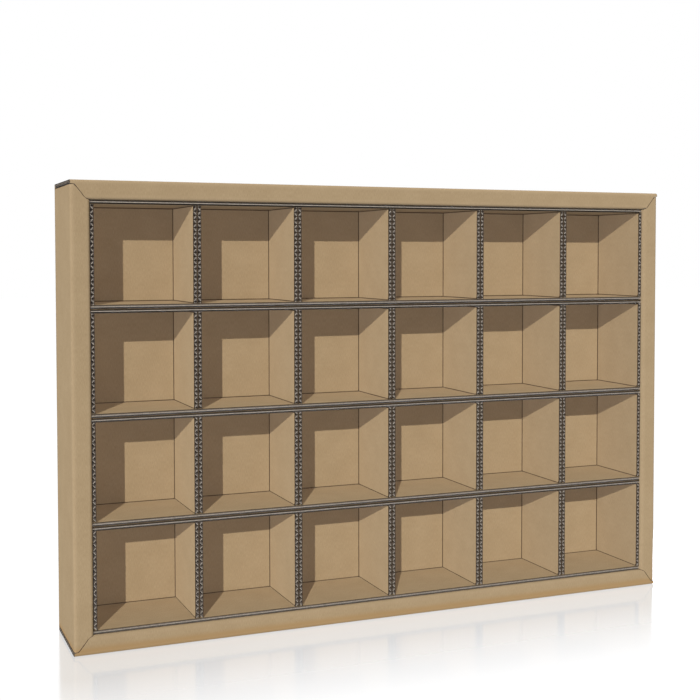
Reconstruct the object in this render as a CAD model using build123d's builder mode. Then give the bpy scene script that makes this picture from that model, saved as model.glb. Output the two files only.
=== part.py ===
from build123d import *
import os

os.makedirs("parts", exist_ok=True)

# A partitioned tray of corrugated board, standing upright on one long side and open to the front.
# One folded blank makes the tray's four hollow walls and its back panel. Four folded strips lie in it
# as rows, and a folded strip stands in each row for every cell. Frame: +X to the right, +Y to the back, +Z up. The origin is on the ground
# under the middle of the tray. All sizes are in millimetres.

# Driving dimensions
board = 3.0             # thickness of the B-flute board
columns = 6             # cells in a row
rows = 4                # rows of cells
pitch = 82.0            # from one cell to the next, both ways
rim = 14.5              # width of the hollow front rim
depth = 26 * board      # front face to back face
recess = board          # the strips' front edges stand this far behind the front face
fold = 2.5              # outer radius of a creased fold, whose inside stays sharp
slip = 0.4              # clearance between two strips side by side
seam = 0.3              # open line between two edges that meet
tab_length = 40.0       # locking tab along the edge of an inner panel
flap_reach = 60.0       # how far a tuck flap reaches into the long wall

# Sizes that follow
opening_width = columns * pitch
opening_height = rows * pitch
width = opening_width + 2 * rim
height = opening_height + 2 * rim
front = -depth / 2
back = depth / 2
panel_front = back - board                  # front face of the back panel
channel_width = opening_width - slip
channel_height = pitch - slip
channel_front = front + recess
channel_back = panel_front - seam
channel_depth = channel_back - channel_front
liner_width = pitch - slip
liner_height = channel_height - 2 * board - slip
liner_back = channel_back - board - seam
liner_depth = liner_back - channel_front

# The rims meet on a mitred line, alike at all four corners. Each point is (outwards, downwards) from
# the lower left corner of the opening.
mitre = [(rim, rim - board), (rim - board, rim - board), (1.2 * board, 0.45 * board), (0, 0)]


def export(part, name):
    part.label = name
    export_step(part, f"parts/{name}.step")


def corner_line(lift):
    # the lower left mitre line as (x, z) points, moved up by lift
    return [(-opening_width / 2 - u, rim - v + lift) for u, v in mitre]


def other_side(points):
    # the same line mirrored to the right half, in reverse order
    return [(-x, z) for x, z in reversed(points)]


def upside_down(points):
    # the same line mirrored to the top half, in reverse order
    return [(x, height - z) for x, z in reversed(points)]


# Bottom wall: outer panel, front rim and inner panel, carried along X, with three locking tabs
beside = (opening_width + board) / 2        # from the middle to an inner panel of a short wall
above = (opening_height + board) / 2        # from the middle to an inner panel of a long wall
tab_middle = (channel_back + back) / 2
long_tabs = [-2 * pitch, 0, 2 * pitch]
short_tabs = [height / 2 - pitch, height / 2 + pitch]
with BuildPart() as bottom_wall:
    with BuildSketch(Plane.YZ) as outline:
        with Locations(((front + panel_front) / 2, rim / 2)):
            Rectangle(depth - board, rim)
        fillet(outline.vertices().group_by(Axis.X)[0], radius=fold)
        with Locations(((front + board + panel_front) / 2, rim / 2)):
            Rectangle(depth - 2 * board, rim - 2 * board, mode=Mode.SUBTRACT)
        with Locations((panel_front - seam / 2, rim - board / 2)):
            Rectangle(seam, board, mode=Mode.SUBTRACT)
    extrude(amount=width / 2, both=True)
    with BuildSketch(Plane.XZ):
        low_line = corner_line(0)
        Polygon(*low_line, *other_side(low_line), (width / 2, 0), (-width / 2, 0), align=None)
    extrude(amount=depth, both=True, mode=Mode.INTERSECT)
    with Locations(*[(x, tab_middle, height / 2 - above) for x in long_tabs]):
        Box(tab_length, back - channel_back, board)
export(bottom_wall.part, "tray_bottom_wall")
export(mirror(bottom_wall.part, about=Plane.XY.offset(height / 2)), "tray_top_wall")

# Left wall: the same section carried along Z, with two tabs, and the tuck flaps folded in at its ends
with BuildPart() as left_wall:
    with BuildSketch(Plane.XY) as outline:
        with Locations(((rim - width) / 2, (front + panel_front) / 2)):
            Rectangle(rim, depth - board)
        fillet(outline.vertices().group_by(Axis.Y)[0], radius=fold)
        with Locations(((rim - width) / 2, (front + board + panel_front) / 2)):
            Rectangle(rim - 2 * board, depth - 2 * board, mode=Mode.SUBTRACT)
        with Locations((-beside, panel_front - seam / 2)):
            Rectangle(board, seam, mode=Mode.SUBTRACT)
    extrude(amount=height)
    with BuildSketch(Plane.XZ):
        low_line = corner_line(seam)
        Polygon(*low_line, *upside_down(low_line), align=None)
    extrude(amount=depth, both=True, mode=Mode.INTERSECT)
    with Locations(*[(-beside, tab_middle, z) for z in short_tabs]):
        Box(board, back - channel_back, tab_length)
    flap_middle = -width / 2 + board / 2 + flap_reach / 2
    flap_lift = 1.5 * board + seam
    with Locations((flap_middle, 0, flap_lift), (flap_middle, 0, height - flap_lift)):
        Box(flap_reach, depth - 4 * board, board)
export(left_wall.part, "tray_left_wall")
export(mirror(left_wall.part, about=Plane.YZ), "tray_right_wall")

# Back panel: its outer edges are the folds to the walls, and the inner panels' tabs lock in its slots
with BuildPart() as back_panel:
    with Locations((0, back - board / 2, height / 2)):
        Box(width, board, height)
    fillet(back_panel.faces().sort_by(Axis.Y)[-1].edges(), radius=fold)
    with Locations(*[(x, back - board / 2, height / 2 + z) for x in long_tabs for z in (-above, above)]):
        Box(tab_length + 2 * seam, board, board + 2 * seam, mode=Mode.SUBTRACT)
    with Locations(*[(x, back - board / 2, z) for x in (-beside, beside) for z in short_tabs]):
        Box(board + 2 * seam, board, tab_length + 2 * seam, mode=Mode.SUBTRACT)
export(back_panel.part, "tray_back_panel")

# Row channels: a strip folded to a C, open to the front, one for each row from the top down
for row in range(rows):
    middle = height - rim - (row + 0.5) * pitch
    with BuildPart() as row_channel:
        with BuildSketch(Plane.YZ) as outline:
            with Locations((channel_back - channel_depth / 2, middle)):
                Rectangle(channel_depth, channel_height)
            fillet(outline.vertices().group_by(Axis.X)[-1], radius=fold)
            with Locations((channel_back - board - channel_depth / 2, middle)):
                Rectangle(channel_depth, channel_height - 2 * board, mode=Mode.SUBTRACT)
        extrude(amount=channel_width / 2, both=True)
    export(row_channel.part, f"row_channel_{row + 1}")

# Cell liners: a strip folded to a U, standing in its row channel, one for each cell
for row in range(rows):
    bottom = height - rim - (row + 0.5) * pitch - liner_height / 2
    for column in range(columns):
        middle = (column + 0.5) * pitch - opening_width / 2
        with BuildPart() as cell_liner:
            with BuildSketch(Plane.XY.offset(bottom)) as outline:
                with Locations((middle, liner_back - liner_depth / 2)):
                    Rectangle(liner_width, liner_depth)
                fillet(outline.vertices().group_by(Axis.Y)[-1], radius=fold)
                with Locations((middle, liner_back - board - liner_depth / 2)):
                    Rectangle(liner_width - 2 * board, liner_depth, mode=Mode.SUBTRACT)
            extrude(amount=liner_height)
        export(cell_liner.part, f"cell_liner_r{row + 1}_c{column + 1}")
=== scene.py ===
import math

import bpy
import numpy as np
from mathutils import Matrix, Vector


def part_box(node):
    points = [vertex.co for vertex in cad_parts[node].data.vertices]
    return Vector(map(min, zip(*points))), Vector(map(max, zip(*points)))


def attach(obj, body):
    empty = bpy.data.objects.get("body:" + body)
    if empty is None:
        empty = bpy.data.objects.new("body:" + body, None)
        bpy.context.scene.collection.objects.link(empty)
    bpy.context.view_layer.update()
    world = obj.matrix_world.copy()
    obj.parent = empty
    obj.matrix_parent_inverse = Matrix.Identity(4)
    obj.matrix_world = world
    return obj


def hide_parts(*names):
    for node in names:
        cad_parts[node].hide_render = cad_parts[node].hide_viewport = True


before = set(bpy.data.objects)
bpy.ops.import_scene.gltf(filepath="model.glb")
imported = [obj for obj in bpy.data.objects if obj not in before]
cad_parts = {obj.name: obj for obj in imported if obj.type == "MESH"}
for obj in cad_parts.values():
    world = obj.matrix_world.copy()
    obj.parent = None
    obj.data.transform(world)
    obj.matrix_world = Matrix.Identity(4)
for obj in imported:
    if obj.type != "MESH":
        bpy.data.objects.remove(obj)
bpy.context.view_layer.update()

print("frame loaded, nodes:", len(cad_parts))


def toLinear(hexColour):
    # An sRGB hex colour as linear values: c / 12.92 when dark, else ((c + 0.055) / 1.055) to the
    # power 2.4.
    values = [int(hexColour[i:i + 2], 16) / 255 for i in (1, 3, 5)]
    return tuple(c / 12.92 if c <= 0.04045 else ((c + 0.055) / 1.055) ** 2.4 for c in values) + (1.0,)


def addNode(tree, kind, settings=None, **inputs):
    # Adds one node, sets its properties, and fills each named socket with a value or a link. In a name
    # an underscore stands for a space, and input6 is the socket with that number.
    node = tree.nodes.new(kind)
    for key, value in (settings or {}).items():
        setattr(node, key, value)
    for key, value in inputs.items():
        number = key.removeprefix("input")
        socket = node.inputs[int(number) if number.isdigit() else key.replace("_", " ")]
        if isinstance(value, bpy.types.NodeSocket):
            tree.links.new(value, socket)
        else:
            socket.default_value = value
    return node


def newMaterial(name):
    # An empty node material with its shader and output joined.
    material = bpy.data.materials.new(name)
    material.use_nodes = True
    tree = material.node_tree
    tree.nodes.clear()
    shader = addNode(tree, "ShaderNodeBsdfPrincipled")
    addNode(tree, "ShaderNodeOutputMaterial", Surface=shader.outputs["BSDF"])
    return material, tree, shader


kraftFinish = {
    "paper": "#AC9473",           # the sheet's own brown
    "deepFibre": "#A58D6C",       # darker fibres
    "paleFibre": "#B39B7A",       # lighter fibres
    "fibreStops": (0.45, 0.7, 0.95),      # where the deep, plain and pale tones stand in the noise
    "fibreLong": 0.0030,          # length of a fibre bundle, m
    "fibreThick": 0.00045,        # its width, drawn coarse so that it shows, m
    "fibreDetail": 3.0,           # finer layers of noise in the fibres
    "fibreFineness": 0.6,         # and how strong each is beside the last
    "fibreRelief": 0.1,           # share of the fibre height that shows
    "fibreHeight": 0.0001,        # m
    "cloud": 0.016,               # size of the cloudy patches, m
    "cloudDetail": 2.0,
    "cloudShare": 0.4,            # how much they count beside the fibres
    "paintedBounce": "#AA885C",            # painted warm bounce light from the floor, warmer towards the bottom
    "paintedBounceReach": 0.009,           # how far up that goes, m
    "paintedBounceStrength": 0.85,
    "paintedHighlight": "#B8A081",            # painted highlight along the crest of a fold, seen from outside
    "paintedHighlightReach": 0.0035,          # how far the painted highlight reaches from a fold, m
    "paintedHighlightStrength": 0.15,
    "creaseShade": "#4A3A2B",         # painted shade along the inside of a fold
    "creaseShadeReach": 0.0007,       # half its width, m
    "creaseShadeStrength": 0.9,
    "crushAndShade": "#4A3A2B",         # dark rim where the knife crushed the edge, together with painted shade in the gaps between neighbouring boards
    "crushAndShadeReach": 0.0009,       # how wide it is, m
    "crushAndShadeStrength": 0.92,
    "fullShare": 0.3,             # share of its reach over which a mark keeps its full strength
    "roughness": 0.86,
    "openness": 0.4,              # open, dull surface that throws light back towards where it came from
    "ior": 1.5,
    "specular": 0.0,
    "rib": 0.00635,               # spacing of the flutes that show through, m
    "ribHeight": 0.00002,         # how far they stand out, m
}


def makeKraftLiner(name, look, marked):
    # Kraft liner paper, hot pressed on the fluting: matte, with short fibres and soft clouds, a painted
    # highlight along the outside of each fold, painted shade along its inside, a dark rim where the knife
    # crushed the edge, widened with painted shade for the gaps between boards, and a warmer tint towards
    # the bottom, painted bounce light from the floor. A board without marks has only the paper, laid
    # along its height, and that painted warm tint towards the bottom.
    material, tree, shader = newMaterial(name)
    place = addNode(tree, "ShaderNodeTexCoord").outputs["Object"]
    height = addNode(tree, "ShaderNodeSeparateXYZ", Vector=place).outputs["Z"]
    across = 1 / look["fibreThick"]
    along = 1 / look["fibreLong"]
    if marked:
        paperUv = addNode(tree, "ShaderNodeUVMap", {"uv_map": "board"}).outputs["UV"]
        stretched = addNode(tree, "ShaderNodeMapping", Vector=paperUv, Scale=(across, along, 1.0))
        alongWave = addNode(tree, "ShaderNodeSeparateXYZ", Vector=paperUv).outputs["Y"]
    else:
        stretched = addNode(tree, "ShaderNodeMapping", Vector=place, Scale=(across, across, along))
        alongWave = height
    fibres = addNode(tree, "ShaderNodeTexNoise", {"noise_dimensions": "2D" if marked else "3D"},
                     Vector=stretched.outputs["Vector"], Scale=1.0, Detail=look["fibreDetail"],
                     Roughness=look["fibreFineness"])
    clouds = addNode(tree, "ShaderNodeTexNoise", Vector=place, Scale=1 / look["cloud"],
                     Detail=look["cloudDetail"])
    mixed = addNode(tree, "ShaderNodeMath", {"operation": "MULTIPLY_ADD"}, input0=clouds.outputs["Fac"],
                    input1=look["cloudShare"], input2=fibres.outputs["Fac"])
    ramp = addNode(tree, "ShaderNodeValToRGB", Fac=mixed.outputs["Value"])
    stops = ramp.color_ramp.elements
    stops[0].position = look["fibreStops"][0]
    stops[0].color = toLinear(look["deepFibre"])
    stops[1].position = look["fibreStops"][2]
    stops[1].color = toLinear(look["paleFibre"])
    stops.new(look["fibreStops"][1]).color = toLinear(look["paper"])

    # The warmer tint towards the bottom is painted bounce light from the floor.
    marks = [("paintedBounce", height, None)]
    if marked:
        signed = addNode(tree, "ShaderNodeAttribute", {"attribute_name": "foldDistance"}).outputs["Fac"]
        fromCut = addNode(tree, "ShaderNodeAttribute", {"attribute_name": "cutDistance"}).outputs["Fac"]
        fromFold = addNode(tree, "ShaderNodeMath", {"operation": "ABSOLUTE"},
                           input0=signed).outputs["Value"]
        outside = addNode(tree, "ShaderNodeMath", {"operation": "GREATER_THAN"}, input0=signed,
                          input1=0.0).outputs["Value"]
        inside = addNode(tree, "ShaderNodeMath", {"operation": "SUBTRACT"}, input0=1.0,
                         input1=outside).outputs["Value"]
        # A painted highlight outside each fold, painted shade inside it, and along a cut the
        # knife-crushed rim with painted shade for the gaps between boards.
        marks += [("paintedHighlight", fromFold, outside), ("creaseShade", fromFold, inside), ("crushAndShade", fromCut, None)]
    colour = ramp.outputs["Color"]
    for mark, distance, side in marks:
        # A mark has its full strength near distance 0, falls smoothly to none at its reach, and may
        # show on one side of the board only.
        reach = look[mark + "Reach"]
        mask = addNode(tree, "ShaderNodeMapRange", {"interpolation_type": "SMOOTHSTEP"}, Value=distance,
                       From_Min=reach * look["fullShare"], From_Max=reach,
                       To_Min=look[mark + "Strength"], To_Max=0.0).outputs["Result"]
        if side is not None:
            mask = addNode(tree, "ShaderNodeMath", {"operation": "MULTIPLY"}, input0=mask,
                           input1=side).outputs["Value"]
        colour = addNode(tree, "ShaderNodeMix", {"data_type": "RGBA"}, input0=mask, input6=colour,
                         input7=toLinear(look[mark])).outputs[2]
    tree.links.new(colour, shader.inputs["Base Color"])

    turned = addNode(tree, "ShaderNodeMath", {"operation": "MULTIPLY"}, input0=alongWave,
                     input1=2 * math.pi / look["rib"]).outputs["Value"]
    ribs = addNode(tree, "ShaderNodeMath", {"operation": "SINE"}, input0=turned).outputs["Value"]
    washboard = addNode(tree, "ShaderNodeBump", Strength=1.0, Distance=look["ribHeight"], Height=ribs)
    bump = addNode(tree, "ShaderNodeBump", Strength=look["fibreRelief"], Distance=look["fibreHeight"],
                   Height=fibres.outputs["Fac"], Normal=washboard.outputs["Normal"])
    tree.links.new(bump.outputs["Normal"], shader.inputs["Normal"])
    shader.inputs["Roughness"].default_value = look["roughness"]
    shader.inputs["Diffuse Roughness"].default_value = look["openness"]
    shader.inputs["IOR"].default_value = look["ior"]
    shader.inputs["Specular IOR Level"].default_value = look["specular"]
    return material


edgeFinish = {
    "paper": "#2F261C",           # cut fibres of the liner, dark and matte, darkened further as painted shade for the shadows on the recessed edges
    "tuft": "#4D4135",            # paler torn fibres
    "tuftStops": (0.4, 0.75),     # where the two tones stand in the noise
    "grain": 0.0007,              # size of a torn tuft, m
    "detail": 2.0,                # finer layers of noise in it
    "relief": 0.4,                # share of the tuft height that shows
    "tuftHeight": 0.0001,         # m
    "roughness": 0.95,
    "specular": 0.15,
}


def makeShadedCutEdge(look):
    # Knife-cut edge of the kraft liner: dark, rough and uneven, because the fibres stand open, and darker
    # still as painted shade for the shadows that fall on the recessed edges.
    material, tree, shader = newMaterial("linerCutEdgeWithShade")
    place = addNode(tree, "ShaderNodeTexCoord").outputs["Object"]
    tufts = addNode(tree, "ShaderNodeTexNoise", Vector=place, Scale=1 / look["grain"],
                    Detail=look["detail"])
    ramp = addNode(tree, "ShaderNodeValToRGB", Fac=tufts.outputs["Fac"])
    for stop, position, tone in zip(ramp.color_ramp.elements, look["tuftStops"], ("paper", "tuft")):
        stop.position = position
        stop.color = toLinear(look[tone])
    tree.links.new(ramp.outputs["Color"], shader.inputs["Base Color"])
    bump = addNode(tree, "ShaderNodeBump", Strength=look["relief"], Distance=look["tuftHeight"],
                   Height=tufts.outputs["Fac"])
    tree.links.new(bump.outputs["Normal"], shader.inputs["Normal"])
    shader.inputs["Roughness"].default_value = look["roughness"]
    shader.inputs["Specular IOR Level"].default_value = look["specular"]
    return material


flutingFinish = {
    "cut": "#BEB3A6",             # torn fibres of the cut fluting, the palest thing on an edge
    "cutSpeck": "#A4998C",        # uneven darker tufts along it
    "hollowShade": "#8A7E71",            # painted shade for the dark hollows inside the board, on the grey recycled fluting
    "hollowShadeSpeck": "#786C60",
    "speckStops": (0.35, 0.65),   # where the speck and the plain tone stand in the noise
    "glued": "#382E24",           # where the starch glue soaked in at the flute tips
    "pitch": 0.00635,             # one full wave, so a glue line every half of it, m
    "tipPower": 4,                # how sharply the glue keeps to the tips
    "grain": 0.0011,              # size of the specks, m
    "detail": 3.0,                # finer layers of noise in them
    "relief": 0.3,                # share of the speck height that shows
    "speckHeight": 0.0001,        # m
    "roughness": 0.92,
    "specular": 0.1,
}


def makeFluting(name, look, pale, speck):
    # Recycled fluting paper, rolled into waves while damp: greyer than kraft, speckled and matte. Its cut
    # edge is pale and torn; inside the board it takes a darker tone, painted shade for the hollows. Glue
    # darkens the tips, |sin(2 pi v / pitch)| to a power along the wave, so that an edge shows pale
    # crossings between dark lines.
    material, tree, shader = newMaterial(name)
    place = addNode(tree, "ShaderNodeTexCoord").outputs["Object"]
    specks = addNode(tree, "ShaderNodeTexNoise", Vector=place, Scale=1 / look["grain"],
                     Detail=look["detail"])
    ramp = addNode(tree, "ShaderNodeValToRGB", Fac=specks.outputs["Fac"])
    for stop, position, tone in zip(ramp.color_ramp.elements, look["speckStops"], (speck, pale)):
        stop.position = position
        stop.color = toLinear(look[tone])
    paperUv = addNode(tree, "ShaderNodeUVMap", {"uv_map": "board"}).outputs["UV"]
    alongWave = addNode(tree, "ShaderNodeSeparateXYZ", Vector=paperUv).outputs["Y"]
    turned = addNode(tree, "ShaderNodeMath", {"operation": "MULTIPLY"}, input0=alongWave,
                     input1=2 * math.pi / look["pitch"]).outputs["Value"]
    crest = addNode(tree, "ShaderNodeMath", {"operation": "SINE"}, input0=turned).outputs["Value"]
    tip = addNode(tree, "ShaderNodeMath", {"operation": "ABSOLUTE"}, input0=crest).outputs["Value"]
    glue = addNode(tree, "ShaderNodeMath", {"operation": "POWER"}, input0=tip,
                   input1=look["tipPower"]).outputs["Value"]
    colour = addNode(tree, "ShaderNodeMix", {"data_type": "RGBA"}, input0=glue,
                     input6=ramp.outputs["Color"], input7=toLinear(look["glued"])).outputs[2]
    tree.links.new(colour, shader.inputs["Base Color"])
    bump = addNode(tree, "ShaderNodeBump", Strength=look["relief"], Distance=look["speckHeight"],
                   Height=specks.outputs["Fac"])
    tree.links.new(bump.outputs["Normal"], shader.inputs["Normal"])
    shader.inputs["Roughness"].default_value = look["roughness"]
    shader.inputs["Specular IOR Level"].default_value = look["specular"]
    return material


board = {
    "thick": 0.0030,              # whole board
    "liner": 0.00036,             # each kraft face
    "fluting": 0.00042,           # the wavy paper between them, over its real 0.2 mm so that it shows
    "pitch": 0.00635,             # one full wave
    "stepsPerWave": 10,           # rows of points where the waves run along the carried way
    "straightRows": 2,            # and where nothing waves along it
    "waveStep": 0.0006,           # point spacing where the waves run along the section
    "foldRadius": 0.0025,         # outside of a fold
    "creaseRadius": 0.0003,       # inside of a fold
    "arcSteps": 6,
    "nearFold": [0.003, 0.006, 0.012],    # where the panels have extra points, from a fold's corner
    "nearShare": 0.45,            # but none past this share of a panel
    "foldFar": 0.012,             # beyond this a fold leaves no trace
    "foldLeast": 0.000001,        # keeps the marks of the two faces apart by their sign
    "crushAndShade": 0.0020,            # the margin along a cut that gets its own points, for the crushed rim and its painted shade
    "outerShadeScale": 0.5,            # on the outer face the crushed line, painted shade for the gap between neighbouring boards, is wider, by one over this
    "gluePhase": 0.115,           # how far glue has crept over a cut along the flutes, in waves
    "sharpAngle": 40,             # edges over this many degrees stay sharp
}

boardMaterials = [
    makeKraftLiner("kraftLinerPaper", kraftFinish, True),
    makeShadedCutEdge(edgeFinish),
    makeFluting("knifeCutFlutingEdge", flutingFinish, "cut", "cutSpeck"),
    # Inside the board the fluting, and the liners' faces toward it, are painted dark as shade in the
    # hollows.
    makeFluting("flutingInPaintedShade", flutingFinish, "hollowShade", "hollowShadeSpeck"),
]
kraftFace, linerCutAndShade, flutingCut, hollowShadeFace = range(len(boardMaterials))     # their numbers in it
plainKraft = makeKraftLiner("kraftLinerPanel", kraftFinish, False)
print("papers ready")


def panelShares(corners, fine):
    # Where each panel between two folds has its inner points, as shares of its length: every "fine"
    # metres, or only at a few distances from the folds and at the margin of the two cut ends.
    length = np.linalg.norm(np.diff(np.array(corners, float), axis=0), axis=1)
    shares = []
    for k, panel in enumerate(length):
        if fine:
            count = int(math.ceil(panel / fine))
            shares.append(np.arange(1, count) / count)
            continue
        near = np.array([d for d in board["nearFold"] if d < board["nearShare"] * panel]) / panel
        margin = np.array([board["crushAndShade"] / panel])
        before = near if k > 0 else margin
        after = 1 - near[::-1] if k < len(length) - 1 else 1 - margin
        shares.append(np.concatenate([before, after]))
    return shares


def foldedLine(corners, radius, shares):
    # A line through the corners. Each inner corner is a quarter circle about the centre c, with the
    # points c + r (in sin t - out cos t) for t from 0 to 90 degrees, where in and out are the ways along
    # the two panels.
    corners = np.array(corners, float)
    leg = np.diff(corners, axis=0)
    way = leg / np.linalg.norm(leg, axis=1)[:, None]
    turn = np.linspace(0, math.pi / 2, board["arcSteps"] + 1)[:, None]
    last = len(leg) - 1
    parts = [corners[:1]]
    for k in range(len(leg)):
        start = corners[k] + way[k] * (radius if k > 0 else 0)
        end = corners[k + 1] - way[k] * (radius if k < last else 0)
        parts.append(start + (end - start) * shares[k][:, None])
        if k < last:
            centre = end + way[k + 1] * radius
            parts.append(centre + radius * (way[k] * np.sin(turn) - way[k + 1] * np.cos(turn)))
    parts.append(corners[-1:])
    return np.concatenate(parts)


def foldedSection(outerCorners, innerCorners, fine=None):
    # The section of a folded board: its outer and inner line, point for point, the length along the outer
    # one and the distance from its nearer end, and each line's distance from its nearest fold, measured
    # from the crest of the fold's arc.
    shares = panelShares(outerCorners, fine)
    section = {}
    for side, corners, radius in (("outer", outerCorners, board["foldRadius"]),
                                  ("inner", innerCorners, board["creaseRadius"])):
        line = foldedLine(corners, radius, shares)
        distance = np.full(len(line), board["foldFar"])
        folds = np.array(corners, float)[1:-1]
        if len(folds):
            reach = np.linalg.norm(line[:, None] - folds[None], axis=2).min(axis=1)
            distance = reach - (math.sqrt(2) - 1) * radius
        section[side] = line
        section[side + "Fold"] = np.clip(distance, board["foldLeast"], board["foldFar"])
    steps = np.linalg.norm(np.diff(section["outer"], axis=0), axis=1)
    section["along"] = np.concatenate([[0], np.cumsum(steps)])
    section["fromEnd"] = np.minimum(section["along"], section["along"][-1] - section["along"])
    return section


def closedSheet(high, low, marks, finish):
    # A thin sheet between two faces, each a grid of rows by points. Every row's ring runs along the
    # high face and back along the low one, neighbouring rings are joined by quads, and a strip of quads
    # closes the first and the last ring. Marks are values for each grid point, alike on both faces.
    # Finish numbers the materials of the high face, the low face and the cut edges.
    rows, points = high.shape[:2]
    ring = np.concatenate([high, low[:, ::-1]], axis=1)
    index = np.arange(rows * 2 * points).reshape(rows, 2 * points)
    ahead = np.roll(index, -1, axis=1)
    quads = np.stack([index[:-1], ahead[:-1], ahead[1:], index[1:]], axis=-1)
    kind = np.full(quads.shape[:2], finish[2])
    kind[:, :points - 1] = finish[0]
    kind[:, points:-1] = finish[1]
    j = np.arange(points - 1)
    cap = np.stack([j, 2 * points - 1 - j, 2 * points - 2 - j, j + 1], axis=-1)
    faces = np.concatenate([quads.reshape(-1, 4), index[0][cap], index[-1][cap[:, ::-1]]])
    kinds = np.concatenate([kind.ravel(), np.full(2 * len(cap), finish[2])])
    ringPoints = ring.reshape(-1, 3)
    corner = (ringPoints - ringPoints.mean(axis=0))[faces]
    volume = np.einsum("ij,ij->", corner[:, 0], np.cross(corner[:, 1], corner[:, 2]))
    volume += np.einsum("ij,ij->", corner[:, 0], np.cross(corner[:, 2], corner[:, 3]))
    if volume < 0:
        faces = faces[:, ::-1]
    sheet = {"points": ringPoints, "faces": faces, "kinds": kinds}
    for name, value in marks.items():
        grid = np.broadcast_to(value, (rows, points))
        sheet[name] = np.concatenate([grid, grid[:, ::-1]], axis=1).ravel()
    return sheet


carriedAlong = {                  # the section's two axes, then the one that it is carried along
    "X": (1, 2, 0),
    "Y": (0, 2, 1),
    "Z": (0, 1, 2),
}


def boardSheets(section, axes, ends, wave, rows, neatness=1.0):
    # The three papers of a board. A point is inner + share * (outer - inner) in the section, carried
    # along the third axis from its own start to its own end. The fluting's share follows
    # middle + height * sin(2 pi c / pitch), where c runs along the carried axis or along the section,
    # and v in the flat layout always runs with it, across the flutes. Neatness makes the crushed line
    # along a cut, with its painted shade, that many times narrower.
    thick = board["thick"]
    span = section["outer"] - section["inner"]

    def place(share, rowShare):
        # The grid of points at a share of the thickness, with how far along each is and how far from
        # a cut.
        share = np.broadcast_to(share, (len(rowShare), len(span)))
        flat = section["inner"] + share[..., None] * span
        start, end = ends(flat)
        carried = start + (end - start) * rowShare[:, None]
        grid = np.empty(share.shape + (3,))
        grid[..., axes[0]] = flat[..., 0]
        grid[..., axes[1]] = flat[..., 1]
        grid[..., axes[2]] = carried
        return grid, carried, np.minimum(carried - start, end - carried)

    start, end = ends(section["inner"][None])
    near = board["crushAndShade"] / float(np.max(end - start))
    linerRows = np.array([0, near, 1 - near, 1])
    linerShare = board["liner"] / thick
    sheets = []
    # The liners' faces toward the hollow take the fluting's painted hollow shade.
    outerSide = (1 - linerShare, 1.0, section["outerFold"], (kraftFace, hollowShadeFace, linerCutAndShade),
                 board["outerShadeScale"])
    innerSide = (0.0, linerShare, -section["innerFold"], (hollowShadeFace, kraftFace, linerCutAndShade), 1.0)
    for low, high, fold, finish, shadeScale in (outerSide, innerSide):
        highFace, carried, cut = place(high, linerRows)
        lowFace = place(low, linerRows)[0]
        # The outer face's crushed line reaches further, as painted shade for the gap between neighbouring
        # boards.
        cut = np.minimum(cut, section["fromEnd"] * shadeScale)
        marks = {"u": section["along"], "v": carried, "foldDistance": fold,
                 "cutDistance": np.minimum(cut, board["crushAndShade"]) * neatness}
        sheets.append(closedSheet(highFace, lowFace, marks, finish))
    rowShare = np.linspace(0, 1, rows)
    carried = place(0.5, rowShare)[1]
    course = carried
    pitch = board["pitch"]
    if wave == "section":
        course = np.broadcast_to(section["along"], carried.shape)
        pitch = section["along"][-1] / max(1, round(section["along"][-1] / pitch))
    turns = 2 * math.pi / pitch
    height = (thick - 2 * board["liner"] - board["fluting"]) / 2
    crest = np.sin(turns * course)
    slope = height * turns * np.cos(turns * course)
    half = board["fluting"] / 2 * np.sqrt(1 + slope ** 2)
    highFace = place(0.5 + (height * crest + half) / thick, rowShare)[0]
    lowFace = place(0.5 + (height * crest - half) / thick, rowShare)[0]
    marks = {"u": section["along"], "v": carried, "foldDistance": 0.0, "cutDistance": 0.0}
    sheets.append(closedSheet(highFace, lowFace, marks, (hollowShadeFace, hollowShadeFace, flutingCut)))
    if wave == "section":
        for sheet in sheets:
            fitted = sheet["u"] * board["pitch"] / pitch
            sheet["u"], sheet["v"] = sheet["v"], fitted + board["gluePhase"] * board["pitch"]
    return sheets


def makePiece(name, sheets, body, node):
    # Puts the sheets into one mesh, with their kinds of paper as materials, their flat layout as a UV
    # map, and their marks as attributes.
    firsts = np.cumsum([0] + [len(s["points"]) for s in sheets])
    faces = np.concatenate([s["faces"] + firsts[i] for i, s in enumerate(sheets)])
    every = {key: np.concatenate([s[key] for s in sheets]) for key in sheets[0] if key != "faces"}
    mesh = bpy.data.meshes.new(name)
    mesh.vertices.add(len(every["points"]))
    mesh.vertices.foreach_set("co", every["points"].astype(np.float32).ravel())
    mesh.loops.add(faces.size)
    mesh.loops.foreach_set("vertex_index", faces.astype(np.int32).ravel())
    mesh.polygons.add(len(faces))
    mesh.polygons.foreach_set("loop_start", np.arange(0, faces.size, 4, dtype=np.int32))
    mesh.polygons.foreach_set("material_index", every["kinds"].astype(np.int32))
    mesh.polygons.foreach_set("use_smooth", np.ones(len(faces), bool))
    mesh.update(calc_edges=True)
    layout = np.stack([every["u"], every["v"]], axis=-1)[faces.ravel()]
    mesh.uv_layers.new(name="board").data.foreach_set("uv", layout.astype(np.float32).ravel())
    for mark in ("foldDistance", "cutDistance"):
        attribute = mesh.attributes.new(mark, "FLOAT", "POINT")
        attribute.data.foreach_set("value", every[mark].astype(np.float32))
    mesh.set_sharp_from_angle(angle=math.radians(board["sharpAngle"]))
    mesh.validate()
    for material in boardMaterials:
        mesh.materials.append(material)
    piece = bpy.data.objects.new(name, mesh)
    bpy.context.scene.collection.objects.link(piece)
    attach(piece, body)
    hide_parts(node)


def level(low, high):
    # Ends that are the same for every point of a section.
    def ends(flat):
        return np.full(flat.shape[:-1], low), np.full(flat.shape[:-1], high)
    return ends


def rowsFor(length):
    # Enough rows for the waves of a board this long.
    return int(round(length / board["pitch"] * board["stepsPerWave"])) + 1


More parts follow.
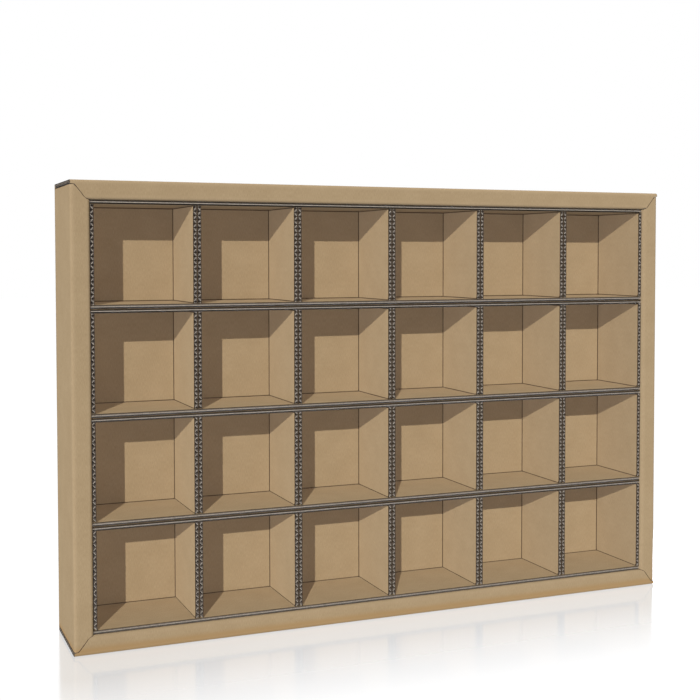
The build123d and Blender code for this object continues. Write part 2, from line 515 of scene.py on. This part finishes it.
tray = {
    "mitreOut": [0.0, 0.0036, 0.0115, 0.0145],    # the mitre line, outwards from the opening's corner
    "mitreDown": [0.0, 0.00135, 0.0115, 0.0115],  # and away from the opening
    "mitreSlack": 0.0000001,      # what still counts as on the mitre
    "seam": 0.0003,               # open line where two edges meet
    "tabLength": 0.040,
    "longTabs": [-0.164, 0.0, 0.164],     # the middles of a long wall's tabs along X
    "shortTabs": [0.0965, 0.2605],        # and of a short wall's along Z
    "flapReach": [0.199, 0.2575],         # a short wall's tuck flaps along X
    "flapDepth": 0.033,           # half their size along Y
    "neatness": 2.5,              # the mitres are cut clean, so their crushed line and its painted shade stay narrow
}
trayLow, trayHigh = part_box("tray_back_panel")
trayWidth = trayHigh.x - trayLow.x
trayHeight = trayHigh.z - trayLow.z
backFace = trayHigh.y
panelFront = trayLow.y
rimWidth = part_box("tray_bottom_wall")[1].z
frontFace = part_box("tray_bottom_wall")[0].y
halfOpening = trayWidth / 2 - rimWidth
print("tray", round(trayWidth, 4), round(trayHeight, 4), "rim", round(rimWidth, 4))


def wallCorners(outerEdge, openingEdge):
    # Corner points of a wall's outer and inner face: depth first, then the distance from the outside.
    # The outer panel runs forward, the rim crosses to the opening, the inner panel runs back.
    t = board["thick"]
    toward = 1 if openingEdge > outerEdge else -1
    innerEnd = panelFront - tray["seam"]
    outer = [
        (panelFront, outerEdge),
        (frontFace, outerEdge),
        (frontFace, openingEdge),
        (innerEnd, openingEdge),
    ]
    inner = [
        (panelFront, outerEdge + toward * t),
        (frontFace + t, outerEdge + toward * t),
        (frontFace + t, openingEdge - toward * t),
        (innerEnd, openingEdge - toward * t),
    ]
    return outer, inner


def longEnds(openingEdge):
    # Ends of a long wall along X, from the distance to the opening. The outer panel is full width, and
    # above it the ends follow the mitre line.
    def ends(flat):
        away = np.abs(flat[..., 1] - openingEdge)
        reach = halfOpening + np.interp(away, tray["mitreDown"][:3], tray["mitreOut"][:3])
        reach = np.where(away > tray["mitreDown"][2] + tray["mitreSlack"], trayWidth / 2, reach)
        return -reach, reach
    return ends


def shortEnds(flat):
    # Ends of a short wall along Z, on the same mitre line moved in by the seam.
    away = np.abs(flat[..., 0]) - halfOpening
    low = trayLow.z + rimWidth - np.interp(away, tray["mitreOut"], tray["mitreDown"]) + tray["seam"]
    return low, trayLow.z + trayHigh.z - low


def tabCorners(openingEdge, toward):
    # Corner points of a tab, which carries the inner panel on through the back panel.
    innerEnd = panelFront - tray["seam"]
    low = openingEdge - toward * board["thick"]
    return [(innerEnd, openingEdge), (backFace, openingEdge)], [(innerEnd, low), (backFace, low)]


def makeLongWall(name, outerEdge, openingEdge):
    # Waves run along the section, because the flutes lie along X.
    outer, inner = wallCorners(outerEdge, openingEdge)
    section = foldedSection(outer, inner, board["waveStep"])
    sheets = boardSheets(section, carriedAlong["X"], longEnds(openingEdge), "section",
                         board["straightRows"], tray["neatness"])
    outer, inner = tabCorners(openingEdge, 1 if openingEdge > outerEdge else -1)
    section = foldedSection(outer, inner, board["waveStep"])
    for middle in tray["longTabs"]:
        ends = level(middle - tray["tabLength"] / 2, middle + tray["tabLength"] / 2)
        sheets += boardSheets(section, carriedAlong["X"], ends, "section", board["straightRows"])
    makePiece(name + "_board", sheets, "tray", name)


def makeShortWall(name, side):
    # Waves run along Z, because the flutes lie across this wall. Its tuck flaps lie flat in the hollow
    # of the long walls.
    outer, inner = wallCorners(side * trayWidth / 2, side * halfOpening)
    swapped = [[(x, y) for y, x in line] for line in (outer, inner)]
    sheets = boardSheets(foldedSection(*swapped), carriedAlong["Z"], shortEnds, "carried",
                         rowsFor(trayHeight), tray["neatness"])
    outer, inner = tabCorners(side * halfOpening, -side)
    section = foldedSection([(x, y) for y, x in outer], [(x, y) for y, x in inner])
    for middle in tray["shortTabs"]:
        ends = level(middle - tray["tabLength"] / 2, middle + tray["tabLength"] / 2)
        sheets += boardSheets(section, carriedAlong["Z"], ends, "carried", rowsFor(tray["tabLength"]))
    t = board["thick"]
    near = side * tray["flapReach"][1]
    far = side * tray["flapReach"][0]
    flapEnds = level(-tray["flapDepth"], tray["flapDepth"])
    rest = trayLow.z + t + tray["seam"]
    for z in (rest, trayHigh.z - rest - t):
        section = foldedSection([(near, z + t), (far, z + t)], [(near, z), (far, z)], board["waveStep"])
        sheets += boardSheets(section, carriedAlong["Y"], flapEnds, "section", board["straightRows"])
    makePiece(name + "_board", sheets, "tray", name)


makeLongWall("tray_bottom_wall", trayLow.z, trayLow.z + rimWidth)
makeLongWall("tray_top_wall", trayHigh.z, trayHigh.z - rimWidth)
makeShortWall("tray_left_wall", -1)
makeShortWall("tray_right_wall", 1)
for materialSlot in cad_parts["tray_back_panel"].material_slots:
    materialSlot.material = plainKraft
print("tray walls done")


channel = {
    "rows": 4,                    # one channel for each row of cells, from the top
    "neatness": 2.0,              # its front edges get only a narrow crushed line and painted shade
}


def makeChannel(row):
    # A strip folded to a C and carried along X. Its waves run along the section, because its flutes lie
    # along X, so its front edges show pale lines.
    node = f"row_channel_{row}"
    low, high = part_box(node)
    t = board["thick"]
    outer = [(low.y, high.z), (high.y, high.z), (high.y, low.z), (low.y, low.z)]
    inner = [(low.y, high.z - t), (high.y - t, high.z - t), (high.y - t, low.z + t), (low.y, low.z + t)]
    section = foldedSection(outer, inner, board["waveStep"])
    sheets = boardSheets(section, carriedAlong["X"], level(low.x, high.x), "section",
                         board["straightRows"], channel["neatness"])
    makePiece(node + "_board", sheets, f"row_{row}", node)


liner = {
    "columns": 6,                 # liners in each channel, from the left
}


def makeLiner(row, column):
    # A strip folded to a U, carried along Z, with its waves along Z.
    node = f"cell_liner_r{row}_c{column}"
    low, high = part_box(node)
    t = board["thick"]
    outer = [(low.x, low.y), (low.x, high.y), (high.x, high.y), (high.x, low.y)]
    inner = [(low.x + t, low.y), (low.x + t, high.y - t), (high.x - t, high.y - t), (high.x - t, low.y)]
    sheets = boardSheets(foldedSection(outer, inner), carriedAlong["Z"], level(low.z, high.z), "carried",
                         rowsFor(high.z - low.z))
    makePiece(node + "_board", sheets, f"cell_r{row}_c{column}", node)


for row in range(1, channel["rows"] + 1):
    makeChannel(row)
    for column in range(1, liner["columns"] + 1):
        makeLiner(row, column)
    print("row", row, "done")


floorPlan = {
    "half": 8.0,                  # half the side of the square, m
    "colour": "#5A5A5A",          # dull under a pale glow, so that shadows on it stay faint
    "glow": 0.98,                 # lifts the floor to the white behind it
    "gloss": 0.38,                # share of the mirror image at the tray's foot
    "fadeFrom": 0.05,             # how far from the tray it starts to fade, m
    "fadeTo": 0.175,              # and where it is gone, m
    "roughness": 0.12,            # of the mirror image
    "bounce": 0.20,               # share of its light that it throws back on the tray
}


def makeFloor(plan):
    # A flat square under the tray: white, with a faint soft mirror image as on glazed board, which fades
    # with the distance from the tray's foot, the length of max(|place| - half size, 0).
    half = plan["half"]
    mesh = bpy.data.meshes.new("floor")
    corners = [(-half, -half, 0), (half, -half, 0), (half, half, 0), (-half, half, 0)]
    mesh.from_pydata(corners, [], [(0, 1, 2, 3)])
    floor = bpy.data.objects.new("floor", mesh)
    bpy.context.scene.collection.objects.link(floor)
    material, tree, shader = newMaterial("glazedWhiteFloor")
    shader.inputs["Base Color"].default_value = toLinear(plan["colour"])
    shader.inputs["Roughness"].default_value = 1.0
    shader.inputs["Specular IOR Level"].default_value = 0.0
    shader.inputs["Emission Color"].default_value = (1.0, 1.0, 1.0, 1.0)
    shader.inputs["Emission Strength"].default_value = plan["glow"]
    place = addNode(tree, "ShaderNodeTexCoord").outputs["Object"]
    folded = addNode(tree, "ShaderNodeVectorMath", {"operation": "ABSOLUTE"},
                     input0=place).outputs["Vector"]
    beyond = addNode(tree, "ShaderNodeVectorMath", {"operation": "SUBTRACT"}, input0=folded,
                     input1=(trayWidth / 2, backFace, 0.0)).outputs["Vector"]
    outside = addNode(tree, "ShaderNodeVectorMath", {"operation": "MAXIMUM"}, input0=beyond,
                      input1=(0.0, 0.0, 0.0)).outputs["Vector"]
    distance = addNode(tree, "ShaderNodeVectorMath", {"operation": "LENGTH"},
                       input0=outside).outputs["Value"]
    share = addNode(tree, "ShaderNodeMapRange", Value=distance, From_Min=plan["fadeFrom"],
                    From_Max=plan["fadeTo"], To_Min=plan["gloss"], To_Max=0.0).outputs["Result"]
    mirror = addNode(tree, "ShaderNodeBsdfGlossy", Color=(1.0, 1.0, 1.0, 1.0),
                     Roughness=plan["roughness"])
    both = addNode(tree, "ShaderNodeMixShader", Fac=share, input1=shader.outputs["BSDF"],
                   input2=mirror.outputs["BSDF"])
    dark = addNode(tree, "ShaderNodeBsdfDiffuse", Color=(0.0, 0.0, 0.0, 1.0))
    path = addNode(tree, "ShaderNodeLightPath")
    held = addNode(tree, "ShaderNodeMath", {"operation": "MULTIPLY"},
                   input0=path.outputs["Is Diffuse Ray"], input1=1 - plan["bounce"])
    soft = addNode(tree, "ShaderNodeMixShader", Fac=held.outputs["Value"], input1=both.outputs["Shader"],
                   input2=dark.outputs["BSDF"])
    output = next(node for node in tree.nodes if node.type == "OUTPUT_MATERIAL")
    tree.links.new(soft.outputs["Shader"], output.inputs["Surface"])
    mesh.materials.append(material)


lightPlan = {
    "keyWay": (0.528, 1.0, -0.402),       # the key light's way, from the upper left front
    "keyStrength": 2.22,
    "keyColour": (1.0, 1.01, 0.95),
    "keyAngle": 0.5,              # degrees
    "leftWay": (0.265, 0.235, -0.09),     # a fill's way; its length is the fill's strength over pi
    "backWay": (-0.38, -0.72, -0.02),     # fill for the back and the right side
    "fillColour": (0.97, 1.05, 1.26),
    "riseWay": (0.0, 0.0, 0.14),          # light thrown back up by the floor, for faces turned down
    "riseColour": (0.38, 0.62, 1.0),
    "fillAngle": 30.0,            # degrees
    "topPlace": (0.0, 0.45, 1.65),        # a soft panel over the tray, which its front faces don't see
    "topSize": 0.9,               # m
    "topPower": 8.0,              # W
    "skyLight": 0.12,             # how strongly the white all round lights the scene
    "skySeen": 1.0,               # and how bright it looks
}


def makeSun(name, way, strength, colour, angle, shadow):
    # Light that travels along a given way. A fill casts no shadow, to stand in for soft panels all round.
    data = bpy.data.lights.new(name, "SUN")
    data.energy = strength
    data.color = colour
    data.angle = math.radians(angle)
    data.use_shadow = shadow
    lamp = bpy.data.objects.new(name, data)
    lamp.rotation_mode = "QUATERNION"
    lamp.rotation_quaternion = Vector(way).to_track_quat("-Z", "Y")
    bpy.context.scene.collection.objects.link(lamp)


def makeTopPanel(plan):
    # A square soft panel overhead that shines straight down.
    data = bpy.data.lights.new("topPanel", "AREA")
    data.energy = plan["topPower"]
    data.size = plan["topSize"]
    lamp = bpy.data.objects.new("topPanel", data)
    lamp.location = plan["topPlace"]
    bpy.context.scene.collection.objects.link(lamp)


def makeSky(plan):
    # White all round: one strength lights the scene, the other is what the eye and the gloss see.
    world = bpy.data.worlds.new("studio")
    world.use_nodes = True
    tree = world.node_tree
    tree.nodes.clear()
    seen = addNode(tree, "ShaderNodeBackground", Strength=plan["skySeen"], Color=(1.0, 1.0, 1.0, 1.0))
    lit = addNode(tree, "ShaderNodeBackground", Strength=plan["skyLight"], Color=(1.0, 1.0, 1.0, 1.0))
    path = addNode(tree, "ShaderNodeLightPath")
    either = addNode(tree, "ShaderNodeMath", {"operation": "MAXIMUM"},
                     input0=path.outputs["Is Camera Ray"], input1=path.outputs["Is Glossy Ray"])
    mixed = addNode(tree, "ShaderNodeMixShader", Fac=either.outputs["Value"],
                    input1=lit.outputs["Background"], input2=seen.outputs["Background"])
    addNode(tree, "ShaderNodeOutputWorld", Surface=mixed.outputs["Shader"])
    bpy.context.scene.world = world


cameraPlan = {
    "place": (-0.40593, -0.96661, 0.30018),
    "yaw": 23.379,                # from the tray's depth towards its right side, degrees
    "pitch": -2.199,              # degrees, down
    "lens": 63.23,                # mm
    "sensor": 36.0,               # mm
    "shift": (-0.0543, -0.0665),  # only enough to frame the tray
}


def makeCamera(plan):
    # Looks along (sin yaw cos pitch, cos yaw cos pitch, sin pitch), level with the horizon.
    data = bpy.data.cameras.new("camera")
    data.lens = plan["lens"]
    data.sensor_width = plan["sensor"]
    data.shift_x, data.shift_y = plan["shift"]
    yaw = math.radians(plan["yaw"])
    pitch = math.radians(plan["pitch"])
    flat = math.cos(pitch)
    way = Vector((math.sin(yaw) * flat, math.cos(yaw) * flat, math.sin(pitch)))
    camera = bpy.data.objects.new("camera", data)
    camera.location = plan["place"]
    camera.rotation_mode = "QUATERNION"
    camera.rotation_quaternion = way.to_track_quat("-Z", "Y")
    bpy.context.scene.collection.objects.link(camera)
    bpy.context.scene.camera = camera


makeFloor(floorPlan)
makeSun("keyLight", lightPlan["keyWay"], lightPlan["keyStrength"], lightPlan["keyColour"],
        lightPlan["keyAngle"], True)
for fillName, way, colour in (("leftFill", lightPlan["leftWay"], lightPlan["fillColour"]),
                              ("backFill", lightPlan["backWay"], lightPlan["fillColour"]),
                              ("floorFill", lightPlan["riseWay"], lightPlan["riseColour"])):
    makeSun(fillName, way, math.pi * Vector(way).length, colour, lightPlan["fillAngle"], False)
makeTopPanel(lightPlan)
makeSky(lightPlan)
makeCamera(cameraPlan)
print("floor, lights and camera ready")
bpy.context.scene.view_settings.view_transform = "Standard"
